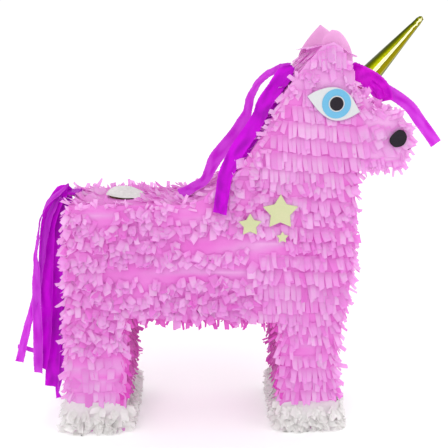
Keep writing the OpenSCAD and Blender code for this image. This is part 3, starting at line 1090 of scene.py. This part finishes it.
def build_streamers():
    """The purple crepe of the mane, the forelock and the tail, from the root to the free end."""
    streamer("mane_light_streamer", "light_crepe", "mane", "mane_light", [
        (0.078, -0.036, 0.460, 50), (0.070, -0.030, 0.458, 66), (0.061, -0.024, 0.453, 67),
        (0.052, -0.020, 0.448, 66), (0.043, -0.016, 0.439, 64), (0.037, -0.014, 0.428, 62),
        (0.033, -0.012, 0.419, 58), (0.030, -0.012, 0.403, 50), (0.022, -0.012, 0.387, 12),
        (0.011, -0.012, 0.372, 0), (-0.001, -0.012, 0.358, 0), (-0.010, -0.012, 0.346, 15),
        (-0.017, -0.012, 0.331, 40), (-0.024, -0.012, 0.319, 52), (-0.035, -0.012, 0.312, 50),
        (-0.045, -0.012, 0.306, 50), (-0.056, -0.012, 0.303, 55)],
        0.017, "draped", ["back_fringe"], 51, ends=PINCHED)
    streamer("mane_dark_streamer", "dark_crepe", "mane", "mane_dark", [
        (0.080, -0.044, 0.458, 30), (0.070, -0.048, 0.450, 15), (0.058, -0.050, 0.433, 0),
        (0.047, -0.052, 0.417, 10), (0.041, -0.054, 0.402, 30), (0.030, -0.056, 0.384, 15),
        (0.017, -0.058, 0.366, 0), (0.008, -0.060, 0.349, 5), (0.002, -0.063, 0.335, 20),
        (-0.001, -0.066, 0.320, 25), (-0.003, -0.067, 0.305, 30), (-0.005, -0.067, 0.290, 25)],
        0.018, "draped", ["right_fringe"], 52, ends=PINCHED)
    streamer("mane_folded_streamer", "dark_crepe", "mane", "mane_fold", [
        (0.080, -0.034, 0.452, 20), (0.070, -0.038, 0.443, 0), (0.060, -0.042, 0.427, 0),
        (0.052, -0.044, 0.411, 0), (0.045, -0.046, 0.395, 0), (0.037, -0.048, 0.379, 0),
        (0.027, -0.050, 0.361, 0), (0.018, -0.050, 0.344, 15), (0.013, -0.050, 0.330, 40)],
        0.018, "draped", ["nape_fringe"], 53, ends=PINCHED)
    streamer("forelock_dark_loop", "bright_crepe", "forelock", "forelock_dark", [
        (0.152, -0.014, 0.4530, 15), (0.1582, -0.021, 0.4500, 0), (0.1655, -0.024, 0.4465, 0),
        (0.1735, -0.025, 0.4425, 0), (0.1815, -0.025, 0.4370, 0), (0.1880, -0.024, 0.4305, 0),
        (0.1920, -0.023, 0.4235, 0), (0.1935, -0.021, 0.4165, 0)],
        0.0235, "draped", ["forehead_strip"], 54, ends=(0.6, 0.8), cup=0.06, extras=[
            ([(0.1745, -0.0275, 0.4395, 20), (0.1812, -0.0280, 0.4345, 25),
              (0.1868, -0.0272, 0.4280, 20), (0.1900, -0.0262, 0.4210, 10)], 0.0095)])
    streamer("forelock_light_streamer", "light_crepe", "forelock", "forelock_light", [
        (0.188, -0.0145, 0.433, 0), (0.1956, -0.0150, 0.4308, 0), (0.2033, -0.0155, 0.4268, 0),
        (0.2171, -0.016, 0.4181, 5), (0.2296, -0.016, 0.4077, 5), (0.2411, -0.016, 0.3928, 8),
        (0.2522, -0.016, 0.3792, 10), (0.2629, -0.016, 0.3651, 0)],
        0.0142, "draped", ["horn_foil"], 55)
    streamer("tail_outer_streamer", "light_crepe", "tail", "tail_outer", [
        (-0.192, -0.008, 0.315, 60), (-0.204, -0.009, 0.305, 70), (-0.218, -0.009, 0.293, 74),
        (-0.227, -0.009, 0.279, 76), (-0.231, -0.009, 0.266, 76), (-0.234, -0.009, 0.249, 72),
        (-0.237, -0.009, 0.231, 58), (-0.239, -0.009, 0.211, 40), (-0.241, -0.009, 0.184, 25),
        (-0.242, -0.009, 0.163, 20), (-0.243, -0.009, 0.135, 10), (-0.244, -0.009, 0.107, 5),
        (-0.246, -0.009, 0.078, 15), (-0.247, -0.009, 0.059, 15)],
        0.013, "hung", ["tail_root"], 56, ends=PINCHED)
    streamer("tail_curled_streamer", "light_crepe", "tail", "tail_curl", [
        (-0.202, -0.007, 0.300, 40), (-0.214, -0.006, 0.284, 40), (-0.224, -0.006, 0.256, 40),
        (-0.231, -0.006, 0.223, 40), (-0.238, -0.006, 0.189, 30), (-0.245, -0.006, 0.162, 30),
        (-0.251, -0.006, 0.143, 25), (-0.256, -0.006, 0.130, 20), (-0.261, -0.006, 0.112, 15),
        (-0.267, -0.006, 0.092, 10), (-0.272, -0.006, 0.074, 0)],
        0.011, "hung", ["tail_root"], 57, ends=PINCHED, extras=[
            ([(-0.236, 0.002, 0.090, 20), (-0.246, 0.004, 0.0855, 20),
              (-0.257, 0.006, 0.0855, 30), (-0.267, 0.006, 0.0895, 10),
              (-0.276, 0.006, 0.0915, 0)], 0.006)])
    streamer("tail_middle_streamer", "crepe", "tail", "tail_middle", [
        (-0.194, -0.003, 0.311, 40), (-0.203, -0.003, 0.304, 20), (-0.213, -0.003, 0.288, 10),
        (-0.221, -0.003, 0.266, 10), (-0.225, -0.003, 0.242, 0), (-0.228, -0.003, 0.215, 0),
        (-0.230, -0.003, 0.181, 10), (-0.231, -0.003, 0.147, 30), (-0.235, -0.003, 0.119, 20),
        (-0.240, -0.003, 0.090, 10), (-0.244, -0.003, 0.064, 20)],
        0.019, "hung", ["tail_root"], 58, ends=PINCHED)
    streamer("tail_dark_streamer", "dark_crepe", "tail", "tail_dark", [
        (-0.193, 0.003, 0.310, 30), (-0.199, 0.003, 0.301, 10), (-0.208, 0.003, 0.277, 0),
        (-0.214, 0.003, 0.240, 0), (-0.218, 0.003, 0.186, 0), (-0.221, 0.003, 0.144, 10),
        (-0.225, 0.003, 0.101, 10), (-0.229, 0.003, 0.072, 0), (-0.232, 0.003, 0.050, 0),
        (-0.234, 0.003, 0.033, 10)],
        0.018, "hung", ["tail_root"], 59, ends=PINCHED)
    streamer("tail_inner_streamer", "dark_crepe", "tail", "tail_inner", [
        (-0.194, 0.009, 0.306, 30), (-0.199, 0.009, 0.292, 10), (-0.203, 0.009, 0.252, 0),
        (-0.207, 0.009, 0.198, 0), (-0.211, 0.009, 0.142, 0), (-0.216, 0.009, 0.099, 10),
        (-0.221, 0.009, 0.062, 20), (-0.224, 0.009, 0.040, 50), (-0.227, 0.009, 0.024, 60),
        (-0.224, 0.009, 0.012, 30)],
        0.016, "hung", ["tail_root"], 60, ends=PINCHED)


# ------------------------------------------------------------- horn, ears, papers

def build_horn():
    """The foil cone: straight sides, long buckles, an overlapped seam and a crumpled tip."""
    stack = Stack(81)
    side = Vector((0, -1, 0))
    front = HORN_AXIS.cross(side)
    rings = 70
    around = 72
    rows = []
    for i in range(rings + 1):
        share = i / rings
        radius = HORN_RADIUS + (HORN_TIP_RADIUS - HORN_RADIUS) * share
        tip = max(0, (share - HORN_CRUMPLE) / (1 - HORN_CRUMPLE))
        row = []
        for j in range(around + 1):
            turn = j / around
            angle = 2 * math.pi * turn
            ray = side * math.sin(angle) - front * math.cos(angle)
            at = Vector((math.cos(angle), math.sin(angle), 0))
            buckle = 0.0005 * noise.noise(at * 2.6 + Vector((0, 0, share * 2.5)))
            buckle += 0.0016 * tip * noise.noise(at * 2.2 + Vector((5, 0, share * 30)))
            seam = 0.0006 * (HORN_SEAM[0] < turn < HORN_SEAM[1])
            size = max(0.0005, radius + buckle + seam - 0.0008 * tip)
            if i == rings:
                size = 0.0003
            row.append(HORN_FOOT + HORN_AXIS * (HORN_LENGTH * share) + ray * size)
        rows.append(row)
    base = len(stack.points)
    stack.rows(rows, 0.5)
    # The first tint number is the share of the turn round the cone, which places the foil's
    # painted reflections.
    for i in range(rings + 1):
        for j in range(around + 1):
            stack.tints[base + i * (around + 1) + j] = (j / around, i / rings, 0.5, 1.0)
    stack.build("gold_foil_horn", "foil", SHELL, "horn_foil")


BEND_STEPS = 6


def paper_loop(node, y, smooth):
    """A CAD paper's outline with its gentle bends rounded and its points sharper than smooth, an
    angle in radians, kept."""
    loop = [Vector(p) for p in face_loop(node, y)]
    count = len(loop)
    result = []

    def bend(a, b, c):
        return (b - a).angle(c - b)

    for i in range(count):
        p0, p1, p2, p3 = (loop[(i + k) % count] for k in (-1, 0, 1, 2))
        start = (p2 - p0) / 2 if bend(p0, p1, p2) < smooth else (p2 - p1)
        end = (p3 - p1) / 2 if bend(p1, p2, p3) < smooth else (p2 - p1)
        for k in range(BEND_STEPS):
            t = k / BEND_STEPS
            result.append(p1 * (2 * t ** 3 - 3 * t ** 2 + 1) + start * (t ** 3 - 2 * t * t + t)
                          + p2 * (3 * t * t - 2 * t ** 3) + end * (t ** 3 - t * t))
    return result


def paper_shape(name, node, side, material, smooth):
    """A die-cut paper on one side: its cut edge and its face, with the gentle bends rounded."""
    low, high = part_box(node)
    near, far = (low.y, high.y) if side < 0 else (high.y, low.y)
    loop = paper_loop(node, near, smooth)
    count = len(loop)
    face_y = near + side * 0.0002
    points = [Vector((p.x, y, p.y)) for y in (far, near, face_y) for p in loop]
    faces = [tuple(range(2 * count, 3 * count))]
    for k in range(2):
        for i in range(count):
            j = (i + 1) % count
            faces.append((k * count + i, k * count + j, (k + 1) * count + j,
                          (k + 1) * count + i))
    piece = new_piece(name, points, faces, material)
    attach(piece, SHELL)
    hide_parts(node)


def build_paper_shapes():
    """The white of each eye and the nostrils."""
    for side, word in ((-1, "right"), (1, "left")):
        paper_shape(word + "_eye_paper", word + "_eye_white", side, "white_card", 0.9)
        paper_shape(word + "_nostril_paper", word + "_nostril", side, "black_card", 1.5)


EAR_STEP = 0.003
EAR_BEND = 0.004
EAR_HALF_THICK = 0.0012


def build_ears():
    """Each ear is a bent paper leaf of two sheets, its front and its back, with a narrow band
    towards the front tinted paler.
    """
    for side, word in ((-1, "right"), (1, "left")):
        node = word + "_ear"
        low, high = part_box(node)
        stack = Stack(91)
        loop = [tuple(p) for p in paper_loop(node, low.y if side < 0 else high.y, 0.7)]
        flat, faces = fill_outline(loop, (low.x, low.z), (high.x, high.z), EAR_STEP,
                                   lambda x, z: inside(x, z, loop))
        middle = (low.y + high.y) / 2
        for layer, shift in ((0, EAR_HALF_THICK), (1, -EAR_HALF_THICK)):
            solid = []
            tints = []
            for p in flat:
                crease = noise.noise(Vector((p.x * 60, layer, p.y * 60)))
                bend = EAR_BEND * ((p.x - (low.x + high.x) / 2) / (high.x - low.x) * 2) ** 2
                solid.append(Vector((p.x, middle - side * bend + side * shift + 0.0006 * crease,
                                     p.y)))
                # A band towards the front is tinted paler; the sheet has no fold there.
                fold = 0.35 * (p.x > 0.138 - 0.25 * (p.y - 0.470))
                tints.append((0.5 + 0.35 * crease + fold, 1.0, 0.5, 1.0))
            stack.sheet(solid, faces, tints)
        stack.build(word + "_ear_paper", "ear", SHELL, node)


# The seal's mesh runs this many steps from its middle to its edge. Its loose edge lifts a little
# all round and more towards the far side, with a slight curl on the near one.
SEAL_STEPS = 26
SEAL_LIFT = 0.0035
SEAL_FAR_LIFT = 0.0085
SEAL_NEAR_CURL = 0.0015


def build_seal():
    """The round paper seal: a flap on the filling door and its glued edge on the back. It is
    slightly crumpled, and its loose edges lift."""
    fold = SEAL_HIGH.x
    for name, node, body, moving in (("seal_paper_flap", "seal_label", "filling_door", True),
                                     ("seal_paper_edge", "seal_glued_edge", SHELL, False)):
        stack = Stack(95)
        steps = SEAL_STEPS
        points = []
        tints = []
        index = {}
        for i in range(-steps, steps + 1):
            for j in range(-steps, steps + 1):
                u, v = i / steps, j / steps
                reach = max(abs(u), abs(v)) / max(1e-9, math.hypot(u, v))
                x = SEAL_AT.x + u * reach * SEAL_R
                y = v * reach * SEAL_R
                x = min(x, fold) if moving else max(x, fold)
                radius = math.hypot(x - SEAL_AT.x, y) / SEAL_R
                loose = max(0, min(1, (fold - x) / (2 * SEAL_R)))
                far = y / SEAL_R
                lift = loose ** 0.5 * (SEAL_LIFT + SEAL_FAR_LIFT * max(0, far) ** 1.2)
                lift += SEAL_NEAR_CURL * loose * max(0, -far) * radius ** 2
                crumple = 0.0007 * noise.noise(Vector((x * 130, y * 130, 3)))
                crumple *= min(1, loose * 6)
                index[i, j] = len(points)
                points.append(Vector((x, y, SEAL_AT.z + lift + crumple)))
                tints.append((radius, 0.5, 0.5, 1.0))
        faces = []
        for i in range(-steps, steps):
            for j in range(-steps, steps):
                corners = (index[i, j], index[i + 1, j], index[i + 1, j + 1], index[i, j + 1])
                wide = max(points[k].x for k in corners) - min(points[k].x for k in corners)
                if wide > 1e-5:
                    faces.append(corners)
        stack.sheet(points, faces, tints)
        stack.build(name, "seal_card", body, node)


# ---------------------------------------------------------------- stage and lights

FLOOR_REACH = 6.0


def build_stage():
    """A wide white floor under the feet."""
    corners = [(x * FLOOR_REACH, y * FLOOR_REACH, 0)
               for x, y in ((-1, -1), (1, -1), (1, 1), (-1, 1))]
    new_piece("studio_floor", corners, [(0, 1, 2, 3)], "floor")


def soft_light(name, place, target, size, power):
    """A square lamp at that place, turned to the target."""
    lamp = bpy.data.lights.new(name, "AREA")
    lamp.size = size
    lamp.energy = power
    light = bpy.data.objects.new(name, lamp)
    light.location = place
    aim = Vector(target) - Vector(place)
    light.rotation_euler = aim.to_track_quat("-Z", "Y").to_euler()
    bpy.context.scene.collection.objects.link(light)


WORLD_STRENGTH = 1.05
KEY_POWER = 8
FILL_POWER = 3


def build_lights():
    """An evenly lit white studio with a soft key light and a weaker one opposite."""
    world = bpy.data.worlds.new("white_studio")
    world.use_nodes = True
    sky = world.node_tree.nodes["Background"]
    sky.inputs["Color"].default_value = (1, 1, 1, 1)
    sky.inputs["Strength"].default_value = WORLD_STRENGTH
    bpy.context.scene.world = world
    soft_light("key_light", (-0.5, -1.6, 1.5), (0, 0, 0.25), 1.0, KEY_POWER)
    soft_light("fill_light", (1.4, -1.2, 0.9), (0, 0, 0.25), 1.2, FILL_POWER)


LENS = 53
SENSOR = 36
CAMERA_AT = (-0.020, -0.823, 0.466)
CAMERA_DIP = 14
CAMERA_TURN = -1.5


def build_camera():
    """The camera looks slightly down on the object's right side."""
    data = bpy.data.cameras.new("camera")
    data.lens = LENS
    data.sensor_width = SENSOR
    camera = bpy.data.objects.new("camera", data)
    camera.location = CAMERA_AT
    camera.rotation_euler = (math.radians(90 - CAMERA_DIP), 0, math.radians(CAMERA_TURN))
    bpy.context.scene.collection.objects.link(camera)
    bpy.context.scene.camera = camera


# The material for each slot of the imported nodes; everything else is crepe.
SLOT_MATERIALS = {
    "card": "board", "white_paper": "white_card", "blue_paper": "blue_card",
    "black_paper": "black_card", "star_paper": "star_card", "gold_foil": "foil",
    "ear_paper": "ear",
}


def dress_card():
    """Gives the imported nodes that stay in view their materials."""
    for entry in RECORD["subparts"]:
        finish = SLOT_MATERIALS.get(entry["material_slot"], "dark_crepe")
        for holder in frame["nodes"][entry["node"]].material_slots:
            holder.material = MATERIALS[finish]


bpy.context.scene.view_settings.view_transform = "Standard"
build_camera()
build_lights()
build_stage()
dress_card()
build_fringe()
build_hooves()
build_streamers()
build_horn()
build_ears()
build_paper_shapes()
build_seal()
